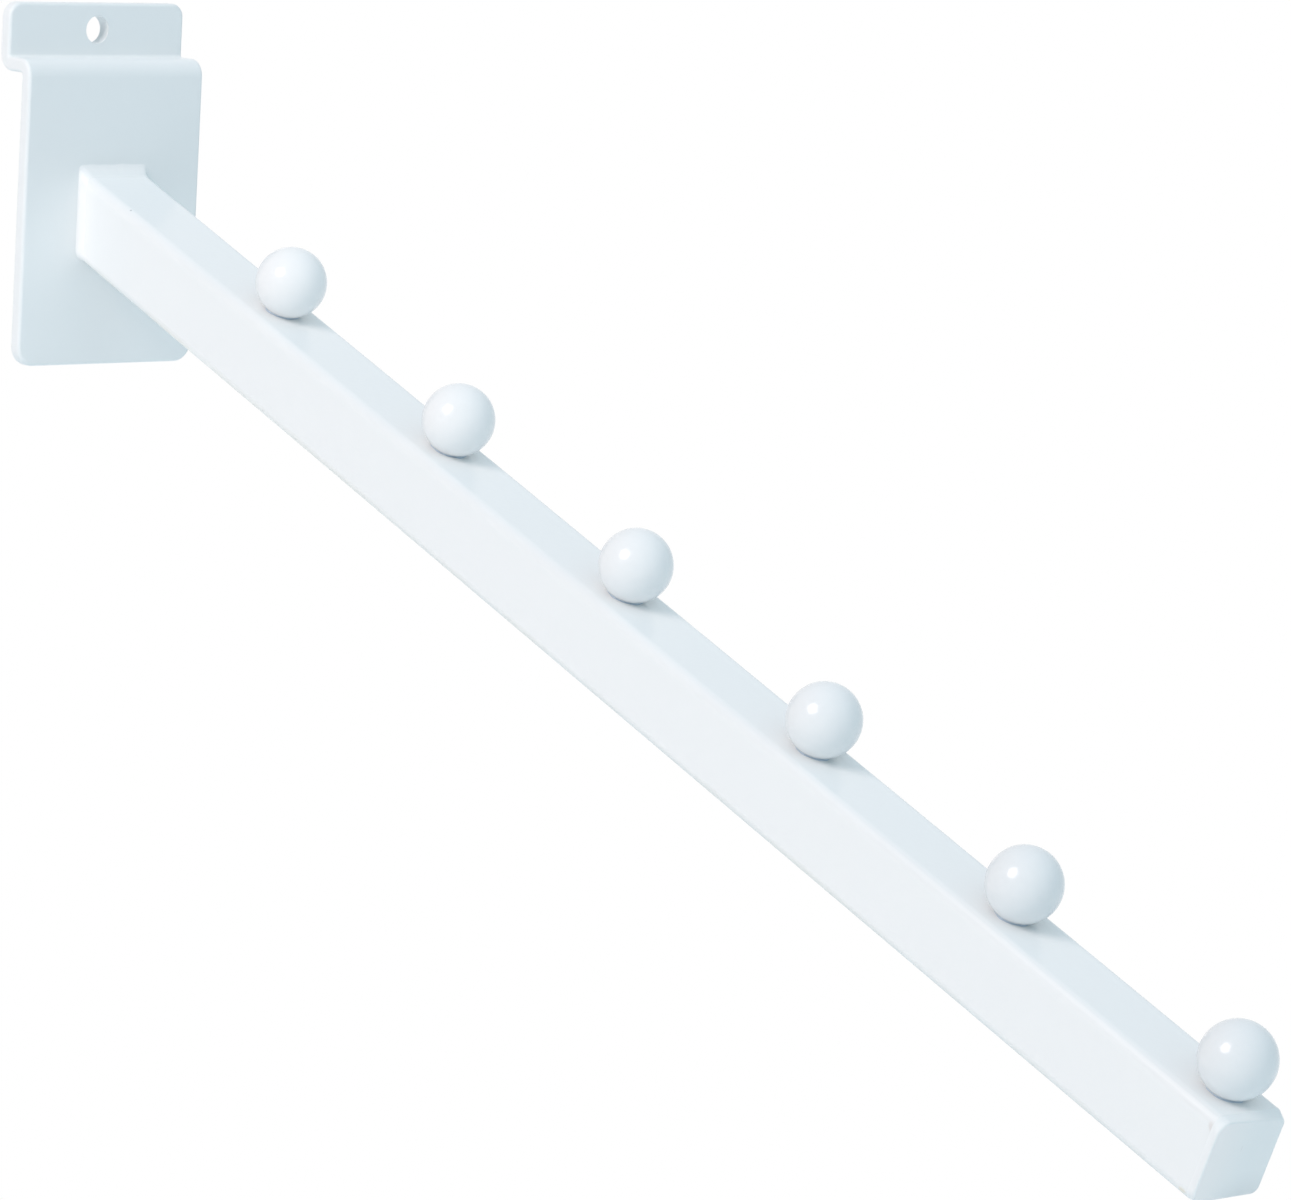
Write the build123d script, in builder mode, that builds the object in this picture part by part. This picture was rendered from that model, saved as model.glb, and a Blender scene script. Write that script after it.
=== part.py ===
# Sloping display arm for a slatted wall panel, in millimetres.
#
# A sheet plate, bent twice, hooks its upturned lip behind the edge of the panel's groove. A square tube
# slopes down from the plate, and balls along the tube's top face keep hangers apart. Every joint is a weld.
#
# +Z is up, +X is to the right seen from the front, and +Y goes into the wall. The origin lies on the plate's
# back face, level with the point where the tube's axis leaves the plate's front face.
from build123d import *

import os
from math import cos, radians, sin, sqrt, tan

# Back plate
sheet_thickness = 3.5
plate_width = 52.9
plate_height = 74.5  # from the bottom edge to the top of the step
lip_height = 13.1  # above the top of the step
lip_gap = 5.4  # between the wall plane and the lip, room for the edge of the groove
bend_radius = 0.7  # inside both bends
plate_corner_radius = 4.8
lip_corner_radius = 3.4
sheet_edge_radius = 0.9
hole_diameter = 6.8
hole_drop = 6.5  # from the lip's top edge down to the hole's centre

# Arm tube
tube_size = 20.0
tube_wall = 1.5
tube_corner_radius = 2.4
arm_slope = 21.5  # degrees below level
arm_length = 420.0  # along the axis, from the plate's front face to the closed end
arm_height = 36.4  # of the axis at the plate's front face, above the plate's bottom edge

# End plate
end_thickness = 2.0
end_upper_left_radius = 3.5  # the corners are ground by hand, each by its own amount
end_upper_right_radius = 1.8
end_lower_left_radius = 3.4
end_lower_right_radius = 1.8
end_edge_radius = 0.6
end_left_drop = 0.3  # the outer face's top edge is ground down at a slant, deeper to the right
end_right_drop = 1.7

# Balls
ball_diameter = 16.9
ball_pitch = 68.2
ball_seat_depth = 0.7  # height of the cap that the weld flat takes off
last_ball_inset = 9.6  # from the closed end to the last ball's centre
root_clearance = 60.0  # least distance from the plate to the first ball's centre

# Root weld
weld_radius = 1.0

# Heights of the plate above the origin
plate_bottom = -arm_height
step_top = plate_bottom + plate_height
lip_top = step_top + lip_height

# The arm's own plane: local X is across the tube, local Y is up from its axis, local Z runs down the arm
slope = radians(arm_slope)
plate_front = Plane.XZ.offset(sheet_thickness)
arm_plane = Plane(plate_front.origin, x_dir=(1, 0, 0), z_dir=(0, -cos(slope), -sin(slope)))
arm_axis = Axis(arm_plane.origin, arm_plane.z_dir)
mitre_depth = tube_size / 2 * tan(slope)  # along the axis, from mid height to the top or bottom face
tube_end = arm_length - end_thickness
bore_size = tube_size - 2 * tube_wall

# Balls sit on the tube's top face
ball_radius = ball_diameter / 2
ball_centre_height = tube_size / 2 + ball_radius - ball_seat_depth
ball_seat_radius = sqrt(ball_radius**2 - (ball_radius - ball_seat_depth) ** 2)
ball_count = 1 + int((arm_length - last_ball_inset - root_clearance) // ball_pitch)

os.makedirs("parts", exist_ok=True)


def save(piece, name):
    """Labels a finished piece and writes it under its own name."""
    piece.part.label = name
    export_step(piece.part, f"parts/{name}.step")


# Back plate: the sheet's middle line is traced to its thickness, then drawn out to the width
middle_of_plate = -sheet_thickness / 2
middle_of_step = step_top - sheet_thickness / 2
middle_of_lip = lip_gap + sheet_thickness / 2
with BuildPart() as back_plate:
    with BuildSketch(Plane.YZ):
        with BuildLine():
            FilletPolyline(
                (middle_of_plate, plate_bottom),
                (middle_of_plate, middle_of_step),
                (middle_of_lip, middle_of_step),
                (middle_of_lip, lip_top),
                radius=bend_radius + sheet_thickness / 2,
            )
        trace(line_width=sheet_thickness)
    extrude(amount=plate_width / 2, both=True)
    fillet(back_plate.edges().filter_by(Axis.Y).group_by(Axis.Z)[0], radius=plate_corner_radius)
    fillet(back_plate.edges().filter_by(Axis.Y).group_by(Axis.Z)[-1], radius=lip_corner_radius)
    # Round the cut edges, which run on from the two sides round the corners
    side_edges = back_plate.faces().filter_by(Axis.X).edges()
    fillet(side_edges.filter_by(Axis.Y, reverse=True), radius=sheet_edge_radius)
    with Locations(Plane.XZ.offset(-lip_gap).shift_origin((0, lip_gap, lip_top - hole_drop))):
        Hole(radius=hole_diameter / 2)
save(back_plate, "back_plate")

# Arm tube: square section run down the slope, with its rear end mitred flush with the plate
with BuildPart() as arm_tube:
    with BuildSketch(arm_plane.offset(-2 * mitre_depth)):
        RectangleRounded(tube_size, tube_size, tube_corner_radius)
        RectangleRounded(bore_size, bore_size, tube_corner_radius - tube_wall, mode=Mode.SUBTRACT)
    extrude(amount=tube_end + 2 * mitre_depth)
    split(bisect_by=plate_front, keep=Keep.TOP)
save(arm_tube, "arm_tube")

# Root weld: the fillet between a stub of the tube and the plate's face, with both taken away again
stub_length = 2 * mitre_depth + 4 * weld_radius
with BuildPart() as root_weld:
    with BuildSketch(plate_front):
        Rectangle(plate_width, plate_width)
    extrude(amount=-sheet_thickness)
    with BuildSketch(arm_plane):
        RectangleRounded(tube_size, tube_size, tube_corner_radius)
    tube_stub = extrude(amount=stub_length, both=True)
    split(bisect_by=plate_front.offset(-sheet_thickness), keep=Keep.TOP)
    root_outline = root_weld.faces().filter_by(lambda face: face.inner_wires()).face().inner_wires()
    fillet(root_outline.edges(), radius=weld_radius)
    split(bisect_by=plate_front, keep=Keep.TOP)
    add(tube_stub, mode=Mode.SUBTRACT)
save(root_weld, "root_weld")

# End plate: its corners are ground from the tube's radius at the seat to their own radii at the outer face
with BuildPart() as end_plate:
    with BuildSketch(arm_plane.offset(tube_end)):
        RectangleRounded(tube_size, tube_size, tube_corner_radius)
    with BuildSketch(arm_plane.offset(arm_length)):
        with BuildLine():
            FilletPolyline(
                (-tube_size / 2, -tube_size / 2),
                (tube_size / 2, -tube_size / 2),
                (tube_size / 2, tube_size / 2 - end_right_drop),
                (-tube_size / 2, tube_size / 2 - end_left_drop),
                radius=(
                    end_lower_left_radius,
                    end_lower_right_radius,
                    end_upper_right_radius,
                    end_upper_left_radius,
                ),
                close=True,
            )
        make_face()
    loft(ruled=True)
    fillet(end_plate.faces().sort_by(arm_axis)[-1].edges(), radius=end_edge_radius)
save(end_plate, "end_plate")

# Balls: a circle cut off by the weld flat, turned about the normal of the tube's top face
for number in range(1, ball_count + 1):
    distance = arm_length - last_ball_inset - (ball_count - number) * ball_pitch
    ball_plane = arm_plane.offset(distance)
    seat_edge = (ball_seat_radius, tube_size / 2)
    ball_side = (ball_radius, ball_centre_height)
    ball_top = (0, ball_centre_height + ball_radius)
    with BuildPart() as ball:
        with BuildSketch(ball_plane):
            with BuildLine():
                ThreePointArc(seat_edge, ball_side, ball_top)
                Polyline(ball_top, (0, tube_size / 2), seat_edge)
            make_face()
        revolve(axis=Axis(ball_plane.origin, ball_plane.y_dir))
    save(ball, f"ball_{number}")
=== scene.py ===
"""Looks of the sloping display arm: powder coat, welds, wear, studio light and camera.

Everything is in metres, in the CAD frame.
"""
from math import atan2, cos, pi, radians, sin, sqrt, tau
from random import Random

import bmesh
import bpy
from mathutils import Matrix, Vector


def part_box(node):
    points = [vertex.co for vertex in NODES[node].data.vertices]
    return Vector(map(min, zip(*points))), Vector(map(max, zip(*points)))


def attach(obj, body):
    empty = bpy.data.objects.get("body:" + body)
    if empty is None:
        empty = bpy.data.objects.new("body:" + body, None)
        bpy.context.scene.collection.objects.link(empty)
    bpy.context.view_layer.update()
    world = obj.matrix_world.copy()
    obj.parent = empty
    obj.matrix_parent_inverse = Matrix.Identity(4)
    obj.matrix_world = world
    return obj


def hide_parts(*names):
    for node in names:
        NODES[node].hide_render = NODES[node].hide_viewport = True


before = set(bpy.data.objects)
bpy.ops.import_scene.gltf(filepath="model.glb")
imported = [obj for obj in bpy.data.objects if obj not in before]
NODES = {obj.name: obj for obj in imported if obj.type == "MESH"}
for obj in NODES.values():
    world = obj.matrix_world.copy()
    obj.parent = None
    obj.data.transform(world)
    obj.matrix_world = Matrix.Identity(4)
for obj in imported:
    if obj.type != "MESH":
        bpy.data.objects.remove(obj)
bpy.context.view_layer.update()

MM = 0.001

# The frame's own places: the arm runs down its slope from the plate's front face
ACROSS = Vector((1, 0, 0))
INTO_WALL = Vector((0, 1, 0))
BALLS = sorted(name for name in NODES if name.startswith("ball_"))
PLATE_LOW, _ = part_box("back_plate")
TUBE_LOW, TUBE_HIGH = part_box("arm_tube")
BALL_LOW, BALL_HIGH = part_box(BALLS[0])
HALF_TUBE = (TUBE_HIGH.x - TUBE_LOW.x) / 2
TUBE_CORNER = 2.4 * MM  # radius, as in the CAD
BALL_RADIUS = (BALL_HIGH.x - BALL_LOW.x) / 2


def middle(name):
    """Middle of a CAD node's box."""
    low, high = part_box(name)
    return (low + high) / 2


ARM_DOWN = (middle(BALLS[-1]) - middle(BALLS[0])).normalized()
ARM_UP = ARM_DOWN.cross(ACROSS)
ROOT = Vector((0, PLATE_LOW.y, 0))  # where the tube's axis leaves the plate
ARM_LENGTH = max((vertex.co - ROOT).dot(ARM_DOWN) for vertex in NODES["end_plate"].data.vertices)
END_LEVEL = (ROOT + ARM_DOWN * ARM_LENGTH).z  # height of the closed end's middle


def on_arm(across, along, up):
    """A place in millimetres across the tube, down the arm from the plate and up from the tube's axis."""
    return ROOT + (ACROSS * across + ARM_DOWN * along + ARM_UP * up) * MM


# Root weld: how far it runs onto the plate and down the tube, on the tube's sides, top and underside
ON_PLATE = {"side": 0.5 * MM, "top": 1.8 * MM, "under": 0.15 * MM}
ON_TUBE = {"side": 3.0 * MM, "top": 2.6 * MM, "under": 1.6 * MM}
WELD_FILL = {"side": 0.05, "top": 0.3, "under": 0.05}  # 0 hugs the corner, 0.5 is flat, more bulges out
TOE_UPPER_CORNER = 1.3 * MM  # corner radii of the weld's outline on the plate
TOE_LOWER_CORNER = 2.7 * MM
FLAT_SHARE = 0.8  # of each quarter of the way round, the rest is its corner
WELD_STEPS = 320  # round the tube
WELD_CURVE = 9  # points across the bead
LEG_WAVES = ((4, (3, 7, 12, 19)), (5, (4, 9, 15, 23)))  # seed, waves per turn: on the plate, on the tube
LEG_SWELL = 0.1  # share by which the waves change the bead's width
RIPPLE_PITCH = 2.4 * MM
RIPPLE_HEIGHT = 0.025 * MM
BURIED = 0.4 * MM  # depth of a weld's hidden side in the metal

# Ball welds: a small hollow collar of weld and coat round each ball's foot
COLLAR_RADIUS = 0.2 * MM
COLLAR_STEPS = 96
COLLAR_CURVE = 8
COLLAR_SEED = 20  # the ball's number is added
COLLAR_WAVES = (2, 5, 9)  # per turn
COLLAR_SWELL = 0.3

# Coat colours, linear
COAT = (0.915, 0.936, 0.939, 1)
COAT_SHADE = (0.895, 0.919, 0.925, 1)
# paler coat at the root, and a painted highlight along the tube's upper crest near the end
COAT_PALE = (0.94, 0.951, 0.953, 1)
# thin coat on worn edges, and painted shade on the ground end's lower right corner and on the tube's upper
# corners
COAT_THIN_AND_SHADE = (0.78, 0.80, 0.81, 1)
COAT_END_LIT = (0.985, 0.965, 0.955, 1)  # painted light: lighter and a little warmer towards the ground end's left side
COAT_CHIPPED = (0.82, 0.81, 0.80, 1)
# a stain near the arm's end, and the darker, browner tone of the tube's lower corners
COAT_BROWN = (0.86, 0.83, 0.74, 1)
# dust specks under the coat, and a painted shadow at the root weld's far top corner
COAT_PIT_AND_SHADOW = (0.22, 0.25, 0.28, 1)
COAT_DOT = (0.60, 0.62, 0.64, 1)
COAT_CREVICE_SHADE = (0.50, 0.62, 0.74, 1)  # painted shade: dark bluish in the crevice round a ball's foot, where the coat is also thin
BALL_NEAR_LIT = (0.94, 0.95, 0.955, 1)  # painted shade: the balls darken and grey towards the arm's end, where less light falls
BALL_FAR_SHADED = (0.80, 0.835, 0.855, 1)

# Every coat has noise of its own: its place in this list is its seed
COATS = ("back_plate", "arm_tube", "end_plate", "balls", "root_weld", "ball_welds")
# Noise: scale per metre, detail, and what it adds to the seed
MOTTLE = (45.0, 3.0, 0)
GRAIN = (2600.0, 1.0, 10)
RAGGED = (900.0, 3.0, 20)
PEEL = (700.0, 1.0, 30)
MOTTLE_SHARE = 0.6  # of the difference between the coat's two tones
GRAIN_SHARE = 0.4
PEEL_STRENGTH = 0.5
PEEL_HEIGHT = 0.04 * MM
# Finishes: roughness where the mottling is low and high, and specular level
SATIN = (0.29, 0.34, 0.3)
TUBE_SATIN = (0.17, 0.22, 0.45)
BALL_GLOSS = (0.15, 0.20, 0.5)
ROUGHNESS_SPAN = (0.3, 0.7)  # the mottling's low and high for roughness
UNEVEN_SPAN = (0.35, 0.65)  # and for the uneven masks: wear, browning and painted shade

# Specks, in cells of their pattern
SPECK_SCALE = 85.0  # cells per metre
SPECK_FADE = (0.022, 0.010)  # distance from its middle where a speck begins and is full
BARE_CELLS = 0.6  # share of the cells without a speck
SPECK_SHARE = 0.5  # of the pit's colour

# Wear along edges and corners, with painted shade on the tube's upper corners, a darker, browner tone on
# its lower ones and a painted highlight along its upper crest: spans from none to full, and shares where
# the mottling is low and high
EDGE_RADIUS = 0.7 * MM
EDGE_SAMPLES = 6
EDGE_TURN = (0.985, 0.86)  # cosine between the surface and its rounded self
EDGE_WEAR = (0.15, 0.6)
LOW_CORNER_BROWNING = (0.1, 0.8)
CORNER_WEAR_AND_SHADE = (0.4, 0.8)
CREST_SPAN = (0.43, 0.5)  # the upper corners' crest, where a highlight is painted: of what add_corner gives
CREST_HIGHLIGHT_REACH = (0.5 * ARM_LENGTH, ARM_LENGTH)
CREST_HIGHLIGHT = (0.0, 0.7)  # share at the start and at the end of that reach

# Paler coat at the root: spans from none to full
ROOT_SPAN = (ROOT.y - 8.0 * MM, ROOT.y - 2.4 * MM)
WELD_SPAN = (ROOT.y - 1.8 * MM, ROOT.y - 0.6 * MM)
SIDE_FACING = (0.75, 0.97)

# Painted light and shade on the ground end: spans from none to full
END_FACING = (0.9, 0.99)
END_LIT_ACROSS = (0.4 * HALF_TUBE, -HALF_TUBE)
END_SHADE_ACROSS = (-0.7 * HALF_TUBE, 0.5 * HALF_TUBE)
END_SHADE_LEVEL = (END_LEVEL - 0.25 * HALF_TUBE, END_LEVEL - 1.15 * HALF_TUBE)

# Coats of the balls, with painted shade down the arm, and of their welds, with painted crevice shade
BALL_SHADE_REACH = (0.05, ARM_LENGTH)  # down the arm, from the near to the far colour
BALL_SHADE_SHARE = 0.75
CREVICE_SHADE_SHARE = 0.85

# Small marks: the piece that shows it, place, half sizes along X, Y and Z in millimetres, colour
MARKS = (
    ("arm_tube", on_arm(-10, 417.6, 7.6), (0.8, 0.75, 1.15), COAT_CHIPPED),
    ("arm_tube", on_arm(-9.6, 416.6, -8.6), (0.9, 1.2, 0.8), COAT_BROWN),
    ("arm_tube", on_arm(-8.4, 16.2, 9.9), (0.32, 0.32, 0.32), COAT_DOT),
    ("arm_tube", on_arm(-10, 83.8, -8.6), (0.32, 0.32, 0.32), COAT_DOT),
    ("end_plate", on_arm(-0.7, 420, 2.6), (0.07, 0.6, 0.95), COAT_CHIPPED),
    # a painted shadow at the root weld's far top corner
    ("root_weld", on_arm(9.9, -2.4, 10.3), (0.7, 0.8, 0.8), COAT_PIT_AND_SHADOW),
)
MARK_FADE = (1.75, 0.85)  # half sizes from its middle, with ragged noise added, where it begins and is full

# Studio
WHITE = (1, 1, 1, 1)
FLOOR_LEVEL = -0.5
FLOOR_RADIUS = 40.0
FLOOR_STEPS = 96
FLOOR_NEAR = 0.6  # the floor's own shading and shadows begin to fade here
FLOOR_FAR = 1.02  # and from here it is plain white
FLOOR_COLOUR = (0.86, 0.875, 0.885, 1)
PAPER_SCALE = 300.0
PAPER_HEIGHT = 0.2 * MM
PAPER_STRENGTH = 0.3
LIGHT_AIM = Vector((0, -0.2, -0.08))
# Lamps: name, direction from the aim, distance, diameter, power, colour, whether reflections show it
LAMPS = (
    ("key", (-0.806, -0.04, 0.588), 2.0, 1.0, 20.6, (1.0, 0.86, 0.815), True),
    ("light_table", (0, 0, -1), 0.41, 3.0, 5.0, (0.81, 0.98, 1.0), False),
)
# Soft glows in the sky: direction, sharpness, colour
GLOWS = (
    ((0, -1, 0.3), 1.5, (0.55, 0.668, 0.715)),
    ((0, 0, 1), 1.5, (0.61, 0.725, 0.815)),
)

# Camera, with the frame taken as 1291 x 1200
FRAME_WIDTH = 1291
FOCAL_PIXELS = 6450.24
SENSOR_WIDTH = 36.0
CAMERA_PLACE = (-0.95437, -1.25941, 0.1344)
CAMERA_DEGREES = (81.9595, -3.1689, -41.7093)


def add_node(tree, kind, inputs=None, **settings):
    """Adds a node, sets its properties, and fills or links its inputs by name or number."""
    made = tree.nodes.new(kind)
    for name, value in settings.items():
        setattr(made, name, value)
    for name, value in (inputs or {}).items():
        if isinstance(value, bpy.types.NodeSocket):
            tree.links.new(value, made.inputs[name])
        else:
            made.inputs[name].default_value = value
    return made


def add_math(tree, operation, *values):
    """One sum with numbers or sockets."""
    return add_node(tree, "ShaderNodeMath", dict(enumerate(values)), operation=operation).outputs[0]


def add_vector_math(tree, operation, *values):
    """One sum with vectors or sockets: a number for a length or a dot product, otherwise a vector."""
    made = add_node(tree, "ShaderNodeVectorMath", dict(enumerate(values)), operation=operation)
    return made.outputs["Value" if operation in ("LENGTH", "DOT_PRODUCT") else "Vector"]


def add_ramp(tree, value, start, end, low=0.0, high=1.0):
    """Takes a value's range from start to end smoothly to the range from low to high."""
    return add_node(tree, "ShaderNodeMapRange", {
        "Value": value, "From Min": start, "From Max": end, "To Min": low, "To Max": high},
        interpolation_type="SMOOTHSTEP").outputs["Result"]


def add_blend(tree, share, first, second):
    """Blends from the first colour to the second."""
    mix = add_node(tree, "ShaderNodeMix", {"Factor": share, 6: first, 7: second}, data_type="RGBA")
    return mix.outputs[2]


def add_noise(tree, place, seed, texture):
    """Seeded noise from 0 to 1."""
    scale, detail, own_seed = texture
    noise = add_node(tree, "ShaderNodeTexNoise", {
        "Vector": place, "W": seed + own_seed, "Scale": scale, "Detail": detail}, noise_dimensions="4D")
    return noise.outputs["Fac"]


def new_material(name):
    """A node material with only its output, and that output."""
    material = bpy.data.materials.new(name)
    material.use_nodes = True
    material.node_tree.nodes.clear()
    return material, add_node(material.node_tree, "ShaderNodeOutputMaterial")


def add_reach(tree, place):
    """Distance down the arm from its root, in metres."""
    offset = add_vector_math(tree, "SUBTRACT", place, ROOT)
    return add_vector_math(tree, "DOT_PRODUCT", offset, ARM_DOWN)


def add_facing(tree, direction):
    """How far the surface faces along a direction, from -1 to 1."""
    normal = add_node(tree, "ShaderNodeNewGeometry").outputs["Normal"]
    return add_vector_math(tree, "DOT_PRODUCT", normal, direction)


def add_sideways(tree):
    """How far the surface faces to the left or to the right, from 0 to 1."""
    return add_math(tree, "ABSOLUTE", add_facing(tree, ACROSS))


def add_corner(tree, side):
    """Rises to 0.5 in the middle of the tube's two rounded corners on one side, upper or lower."""
    toward = add_math(tree, "MAXIMUM", add_facing(tree, side), 0.0)
    return add_math(tree, "MULTIPLY", add_sideways(tree), toward)


def add_uneven(tree, mask, mottle, shares):
    """Makes a mask uneven, with its shares where the mottling is low and high."""
    return add_math(tree, "MULTIPLY", mask, add_ramp(tree, mottle, *UNEVEN_SPAN, *shares))


def add_specks(tree, place):
    """Shows 1 on sparse dust specks under the coat."""
    cells = add_node(tree, "ShaderNodeTexVoronoi", {"Vector": place, "Scale": SPECK_SCALE})
    near = add_ramp(tree, cells.outputs["Distance"], *SPECK_FADE)
    pick = add_node(tree, "ShaderNodeSeparateColor", {"Color": cells.outputs["Color"]})
    chosen = add_math(tree, "GREATER_THAN", pick.outputs["Red"], BARE_CELLS)
    return add_math(tree, "MULTIPLY", near, chosen)


def add_mark(tree, place, ragged, centre, half_sizes):
    """Shows 1 inside one small ragged mark."""
    offset = add_vector_math(tree, "SUBTRACT", place, centre)
    scaled = add_vector_math(tree, "MULTIPLY", offset, [1 / (size * MM) for size in half_sizes])
    reach = add_vector_math(tree, "LENGTH", scaled)
    return add_ramp(tree, add_math(tree, "ADD", reach, ragged), *MARK_FADE)


# Layers of a coat: each takes the tree, the place, the mottling and the tone so far, and gives the new tone


def thin_edges(tree, place, mottle, tone):
    """Thins the coat on sharp edges, unevenly along them."""
    rounded = add_node(tree, "ShaderNodeBevel", {"Radius": EDGE_RADIUS}, samples=EDGE_SAMPLES)
    edge = add_ramp(tree, add_facing(tree, rounded.outputs["Normal"]), *EDGE_TURN)
    return add_blend(tree, add_uneven(tree, edge, mottle, EDGE_WEAR), tone, COAT_THIN_AND_SHADE)


def pale_root(tree, place, mottle, tone):
    """Makes the coat paler on the root weld and on the tube's sides beside it, fading out down the arm."""
    depth = add_node(tree, "ShaderNodeSeparateXYZ", {"Vector": place}).outputs["Y"]
    near = add_ramp(tree, depth, *ROOT_SPAN)
    side = add_ramp(tree, add_sideways(tree), *SIDE_FACING)
    at_weld = add_ramp(tree, depth, *WELD_SPAN)
    paler = add_math(tree, "MULTIPLY", near, add_math(tree, "MAXIMUM", side, at_weld))
    return add_blend(tree, paler, tone, COAT_PALE)


def wear_shade_and_highlight_ridges(tree, place, mottle, tone):
    """Darkens and browns the tube's lower corners, thins the coat on its upper ones and paints shade over
    them, and paints a highlight along their crest near the end.
    """
    browned = add_uneven(tree, add_corner(tree, -ARM_UP), mottle, LOW_CORNER_BROWNING)
    tone = add_blend(tree, browned, tone, COAT_BROWN)
    # thin coat with painted shade on the upper corners
    corner = add_corner(tree, ARM_UP)
    tone = add_blend(tree, add_uneven(tree, corner, mottle, CORNER_WEAR_AND_SHADE), tone, COAT_THIN_AND_SHADE)
    # painted highlight along the upper corners' crest, growing towards the end
    crest = add_ramp(tree, corner, *CREST_SPAN)
    highlight_reach = add_ramp(tree, add_reach(tree, place), *CREST_HIGHLIGHT_REACH, *CREST_HIGHLIGHT)
    return add_blend(tree, add_math(tree, "MULTIPLY", crest, highlight_reach), tone, COAT_PALE)


def paint_end_light_and_shade(tree, place, mottle, tone):
    """Paints light and shade on the ground end: lighter and warmer towards its left side, darker in its
    lower right corner.
    """
    spot = add_node(tree, "ShaderNodeSeparateXYZ", {"Vector": place}).outputs
    outer_face = add_ramp(tree, add_facing(tree, ARM_DOWN), *END_FACING)
    # painted light towards the end's left side
    left = add_ramp(tree, spot["X"], *END_LIT_ACROSS)
    tone = add_blend(tree, add_math(tree, "MULTIPLY", outer_face, left), tone, COAT_END_LIT)
    # painted shade in the end's lower right corner
    low = add_ramp(tree, spot["Z"], *END_SHADE_LEVEL)
    right = add_ramp(tree, spot["X"], *END_SHADE_ACROSS)
    return add_blend(tree, add_math(tree, "MULTIPLY", low, right), tone, COAT_THIN_AND_SHADE)


def shade_balls_by_reach(tree, place, mottle, tone):
    """Paints shade on the balls: darker and greyer towards the arm's end, where less light falls."""
    far = add_ramp(tree, add_reach(tree, place), *BALL_SHADE_REACH)
    return add_blend(tree, BALL_SHADE_SHARE, tone, add_blend(tree, far, BALL_NEAR_LIT, BALL_FAR_SHADED))


def shade_crevice(tree, place, mottle, tone):
    """Paints the crevice round a ball's foot dark bluish as its shade, where the coat is also thin."""
    return add_blend(tree, CREVICE_SHADE_SHARE, tone, COAT_CREVICE_SHADE)


def powder_coat(name, finish, *layers):
    """White powder coat: mottled, orange-peeled, with this piece's layers, specks and its own marks."""
    rough_low, rough_high, gloss = finish
    seed = float(COATS.index(name))
    material, output = new_material("coat_" + name)
    tree = material.node_tree
    place = add_node(tree, "ShaderNodeTexCoord").outputs["Object"]
    mottle = add_noise(tree, place, seed, MOTTLE)
    mottling = add_math(tree, "MULTIPLY", mottle, MOTTLE_SHARE)
    graining = add_math(tree, "MULTIPLY", add_noise(tree, place, seed, GRAIN), GRAIN_SHARE)
    tone = add_blend(tree, add_math(tree, "ADD", mottling, graining), COAT_SHADE, COAT)
    for layer in layers:
        tone = layer(tree, place, mottle, tone)
    specks = add_math(tree, "MULTIPLY", add_specks(tree, place), SPECK_SHARE)
    tone = add_blend(tree, specks, tone, COAT_PIT_AND_SHADOW)
    ragged = add_noise(tree, place, seed, RAGGED)
    for piece, centre, half_sizes, colour in MARKS:
        if piece == name:
            tone = add_blend(tree, add_mark(tree, place, ragged, centre, half_sizes), tone, colour)
    peel = add_noise(tree, place, seed, PEEL)
    bump = add_node(tree, "ShaderNodeBump", {
        "Height": peel, "Strength": PEEL_STRENGTH, "Distance": PEEL_HEIGHT})
    surface = add_node(tree, "ShaderNodeBsdfPrincipled", {
        "Base Color": tone,
        "Roughness": add_ramp(tree, mottle, *ROUGHNESS_SPAN, rough_low, rough_high),
        "Normal": bump.outputs["Normal"],
        "Specular IOR Level": gloss})
    tree.links.new(surface.outputs["BSDF"], output.inputs["Surface"])
    return material


def dress(name, material):
    """Gives a carried-over CAD node its finish."""
    for slot in NODES[name].material_slots:
        slot.material = material


def dress_nodes():
    """One coat per kind of piece, so that their mottling differs. The balls' coat is glossier."""
    dress("back_plate", powder_coat("back_plate", SATIN, thin_edges))
    dress("arm_tube", powder_coat("arm_tube", TUBE_SATIN, pale_root, wear_shade_and_highlight_ridges))
    dress("end_plate", powder_coat("end_plate", SATIN, paint_end_light_and_shade))
    ball_coat = powder_coat("balls", BALL_GLOSS, shade_balls_by_reach)
    for name in BALLS:
        dress(name, ball_coat)


def waves(seed, counts):
    """A closed sum of waves from -1 to 1 over one turn, with its own phases."""
    chance = Random(seed)
    parts = [(count, chance.uniform(0, tau)) for count in counts]
    return lambda share: sum(sin(tau * count * share + phase) for count, phase in parts) / len(parts)


def add_ring_piece(name, rings, toes, material):
    """A closed piece whose section is swept round: rings of points in order, creased at their toes."""
    form = bmesh.new()
    grid = [[form.verts.new(point) for point in ring] for ring in rings]
    for ring, following in zip(grid, grid[1:] + grid[:1]):
        for index in range(len(ring)):
            form.faces.new((ring[index - 1], ring[index], following[index], following[index - 1]))
    bmesh.ops.recalc_face_normals(form, faces=form.faces)
    for face in form.faces:
        face.smooth = True
    for ring, following in zip(grid, grid[1:] + grid[:1]):
        for toe in toes:
            form.edges.get((ring[toe], following[toe])).smooth = False
    mesh = bpy.data.meshes.new(name)
    form.to_mesh(mesh)
    form.free()
    mesh.materials.append(material)
    piece = bpy.data.objects.new(name, mesh)
    bpy.context.scene.collection.objects.link(piece)
    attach(piece, "root")
    return piece


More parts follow.
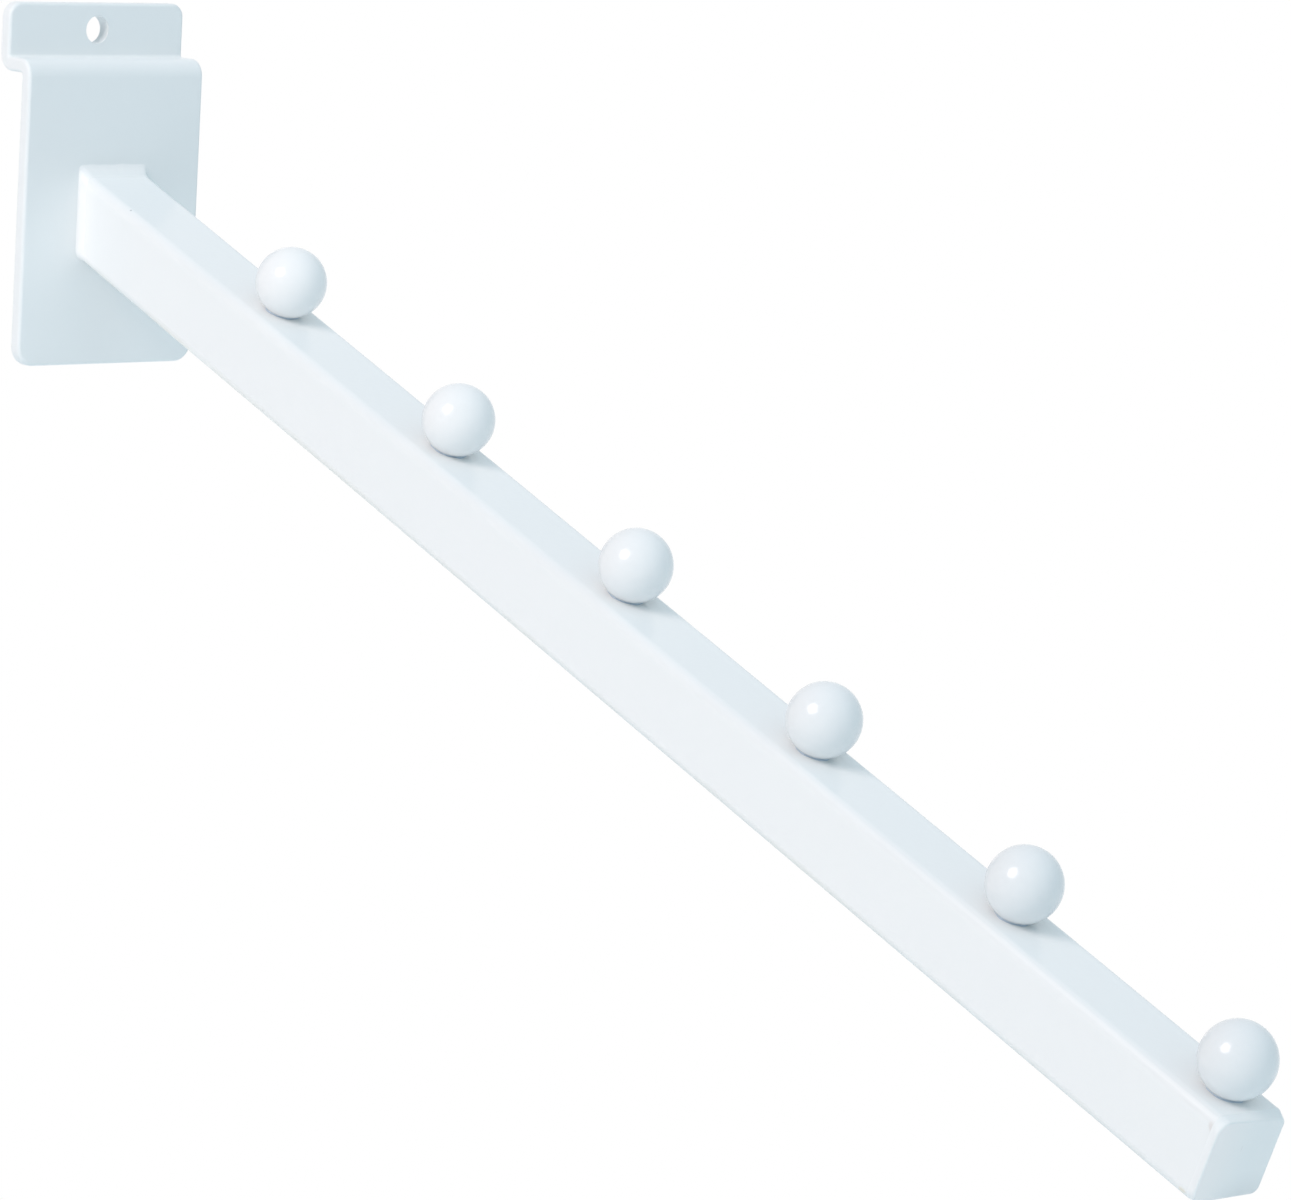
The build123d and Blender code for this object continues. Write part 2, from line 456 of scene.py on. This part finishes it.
def on_outline(share, side, top, under, upper_corner, lower_corner):
    """Place and outward normal on a rounded box's outline, as (across, up), at a share of the way round."""
    quarter, run = divmod(4 * share, 1)
    quarter = int(quarter)
    corners = Vector((side, -under)), Vector((side, top)), Vector((-side, top)), Vector((-side, -under))
    radii = lower_corner, upper_corner, upper_corner, lower_corner
    turn = Matrix.Rotation(quarter * pi / 2, 2)
    outward, forward = turn @ Vector((1, 0)), turn @ Vector((0, 1))
    ahead = (quarter + 1) % 4
    first = corners[quarter] + forward * radii[quarter]
    last = corners[ahead] - forward * radii[ahead]
    if run < FLAT_SHARE:
        return first.lerp(last, run / FLAT_SHARE), outward
    angle = (run - FLAT_SHARE) / (1 - FLAT_SHARE) * pi / 2
    normal = outward * cos(angle) + forward * sin(angle)
    return last + (normal - outward) * radii[ahead], normal


def by_side(sizes, normal):
    """A size of the weld for the way that its section faces."""
    upright = sizes["top"] if normal.y > 0 else sizes["under"]
    return sizes["side"] * normal.x**2 + upright * normal.y**2


def weld_section(share, plate_waves, tube_waves, ripple):
    """One section of the root weld: its face from plate to tube, then its hidden side in the metal."""
    place, normal = on_outline(share, HALF_TUBE, HALF_TUBE, HALF_TUBE, TUBE_CORNER, TUBE_CORNER)
    tube_out = ACROSS * normal.x + ARM_UP * normal.y
    corner = ROOT + ACROSS * place.x + ARM_UP * place.y
    corner -= ARM_DOWN * ((corner.y - ROOT.y) / ARM_DOWN.y)
    half_height = HALF_TUBE / ARM_UP.z
    spread = 1 + LEG_SWELL * plate_waves(share)
    spot, _ = on_outline(
        share,
        HALF_TUBE + ON_PLATE["side"] * spread,
        half_height + ON_PLATE["top"] * spread,
        half_height + ON_PLATE["under"] * spread,
        TOE_UPPER_CORNER,
        TOE_LOWER_CORNER,
    )
    plate_toe = Vector((spot.x, ROOT.y, spot.y)) - corner
    tube_toe = ARM_DOWN * by_side(ON_TUBE, normal) * (1 + LEG_SWELL * tube_waves(share))
    bulge = (plate_toe + tube_toe) * by_side(WELD_FILL, normal)
    bulge += (tube_out - INTO_WALL).normalized() * ripple
    face = []
    for index in range(WELD_CURVE):
        along = index / (WELD_CURVE - 1)
        toes = plate_toe * (1 - along) ** 2 + tube_toe * along**2
        face.append(corner + toes + bulge * 2 * along * (1 - along))
    sunk = INTO_WALL * BURIED
    inside = corner - tube_out * BURIED
    return face + [inside + tube_toe, inside + sunk, corner + plate_toe + sunk]


def add_root_weld():
    """The fillet weld round the tube's root, long on the tube's sides, with faint ripples."""
    plate_waves, tube_waves = [waves(seed, counts) for seed, counts in LEG_WAVES]
    outline = 8 * (HALF_TUBE - TUBE_CORNER) + TUBE_CORNER * tau
    ripples = round(outline / RIPPLE_PITCH)
    rings = []
    for step in range(WELD_STEPS):
        share = step / WELD_STEPS
        ripple = RIPPLE_HEIGHT * sin(tau * ripples * share)
        rings.append(weld_section(share, plate_waves, tube_waves, ripple))
    coat = powder_coat("root_weld", SATIN, pale_root)
    bead = add_ring_piece("root_weld_bead", rings, (0, WELD_CURVE - 1), coat)
    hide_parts("root_weld")


def collar_section(centre, height, angle, radius):
    """One section of a ball's collar: a hollow curve from the tube up to the ball, then its hidden side."""
    outward = ACROSS * cos(angle) + ARM_DOWN * sin(angle)
    foot = centre - ARM_UP * height
    reach = sqrt((BALL_RADIUS + radius) ** 2 - (height - radius) ** 2)
    start, end = 1.5 * pi, atan2(height - radius, -reach)
    face = []
    for index in range(COLLAR_CURVE):
        turn = start + (end - start) * index / (COLLAR_CURVE - 1)
        face.append(foot + outward * (reach + radius * cos(turn)) + ARM_UP * (radius + radius * sin(turn)))
    in_ball = face[-1] + (centre - face[-1]).normalized() * BURIED
    seat = sqrt(BALL_RADIUS**2 - height**2)
    under_seat = foot + outward * (seat - BURIED) - ARM_UP * BURIED
    under_toe = foot + outward * reach - ARM_UP * BURIED
    return face + [in_ball, under_seat, under_toe]


def add_ball_welds():
    """A small uneven collar round the foot of every ball."""
    # the collars' coat paints the crevice's shade
    coat = powder_coat("ball_welds", SATIN, shade_crevice)
    for number, name in enumerate(BALLS, 1):
        centre = middle(name)
        height = (centre - ROOT).dot(ARM_UP) - HALF_TUBE
        swelling = waves(COLLAR_SEED + number, COLLAR_WAVES)
        rings = []
        for step in range(COLLAR_STEPS):
            share = step / COLLAR_STEPS
            radius = COLLAR_RADIUS * (1 + COLLAR_SWELL * swelling(share))
            rings.append(collar_section(centre, height, tau * share, radius))
        add_ring_piece(f"ball_weld_{number}", rings, (0, COLLAR_CURVE - 1), coat)


def background_rays(tree):
    """1 for the rays that see the background: camera, glossy and transmission rays."""
    path = add_node(tree, "ShaderNodeLightPath").outputs
    either = add_math(tree, "MAXIMUM", path["Is Camera Ray"], path["Is Glossy Ray"])
    return add_math(tree, "MAXIMUM", either, path["Is Transmission Ray"])


def floor_paper():
    """Pale paper that takes light and shadow near by and is plain white further out."""
    material, output = new_material("floor_paper")
    tree = material.node_tree
    place = add_node(tree, "ShaderNodeTexCoord").outputs["Object"]
    far = add_ramp(tree, add_vector_math(tree, "LENGTH", place), FLOOR_NEAR, FLOOR_FAR)
    grain = add_node(tree, "ShaderNodeTexNoise", {"Vector": place, "Scale": PAPER_SCALE})
    bump = add_node(tree, "ShaderNodeBump", {
        "Height": grain.outputs["Fac"], "Distance": PAPER_HEIGHT, "Strength": PAPER_STRENGTH})
    paper = add_node(tree, "ShaderNodeBsdfDiffuse", {
        "Color": FLOOR_COLOUR, "Normal": bump.outputs["Normal"]})
    white = add_node(tree, "ShaderNodeEmission", {"Color": WHITE, "Strength": 1.0})
    mixed = add_node(tree, "ShaderNodeMixShader", {
        "Fac": add_math(tree, "MULTIPLY", far, background_rays(tree)),
        1: paper.outputs["BSDF"],
        2: white.outputs["Emission"]})
    tree.links.new(mixed.outputs["Shader"], output.inputs["Surface"])
    return material


def make_floor():
    """A wide round floor below the arm."""
    mesh = bpy.data.meshes.new("floor")
    form = bmesh.new()
    bmesh.ops.create_circle(form, cap_ends=True, cap_tris=True, segments=FLOOR_STEPS, radius=FLOOR_RADIUS)
    form.to_mesh(mesh)
    form.free()
    mesh.materials.append(floor_paper())
    floor = bpy.data.objects.new("floor", mesh)
    floor.location.z = FLOOR_LEVEL
    bpy.context.scene.collection.objects.link(floor)


def make_sky():
    """Bluish fill with soft glows, seen as plain white behind the arm."""
    world = bpy.data.worlds.new("studio")
    world.use_nodes = True
    tree = world.node_tree
    tree.nodes.clear()
    output = add_node(tree, "ShaderNodeOutputWorld")
    toward = add_node(tree, "ShaderNodeTexCoord").outputs["Generated"]
    light = (0, 0, 0)
    for direction, sharpness, colour in GLOWS:
        facing = add_vector_math(tree, "DOT_PRODUCT", toward, Vector(direction).normalized())
        glow = add_math(tree, "POWER", add_math(tree, "MAXIMUM", facing, 0.0), sharpness)
        tinted = add_node(tree, "ShaderNodeVectorMath", {0: colour, "Scale": glow}, operation="SCALE")
        light = add_vector_math(tree, "ADD", light, tinted.outputs["Vector"])
    fill = add_node(tree, "ShaderNodeBackground", {"Color": light, "Strength": 1.0})
    white = add_node(tree, "ShaderNodeBackground", {"Color": WHITE, "Strength": 1.0})
    mixed = add_node(tree, "ShaderNodeMixShader", {
        "Fac": background_rays(tree), 1: fill.outputs["Background"], 2: white.outputs["Background"]})
    tree.links.new(mixed.outputs["Shader"], output.inputs["Surface"])
    bpy.context.scene.world = world


def make_lamps():
    """Round soft lamps aimed at the arm's middle, from beside it and from the table below."""
    for name, direction, distance, diameter, power, colour, reflected in LAMPS:
        lamp = bpy.data.lights.new(name, "AREA")
        lamp.shape = "DISK"
        lamp.size = diameter
        lamp.energy = power
        lamp.color = colour
        holder = bpy.data.objects.new(name, lamp)
        toward = Vector(direction).normalized()
        holder.location = LIGHT_AIM + toward * distance
        holder.rotation_euler = (-toward).to_track_quat("-Z", "Y").to_euler()
        holder.visible_camera = False
        holder.visible_glossy = reflected
        bpy.context.scene.collection.objects.link(holder)


def make_camera():
    """The photograph's viewpoint and framing."""
    lens = bpy.data.cameras.new("camera")
    lens.sensor_fit = "HORIZONTAL"
    lens.sensor_width = SENSOR_WIDTH
    lens.lens = FOCAL_PIXELS * SENSOR_WIDTH / FRAME_WIDTH
    camera = bpy.data.objects.new("camera", lens)
    camera.location = CAMERA_PLACE
    camera.rotation_euler = [radians(angle) for angle in CAMERA_DEGREES]
    bpy.context.scene.collection.objects.link(camera)
    bpy.context.scene.camera = camera


dress_nodes()
add_root_weld()
add_ball_welds()
make_floor()
make_sky()
make_lamps()
make_camera()
bpy.context.scene.view_settings.view_transform = "Standard"
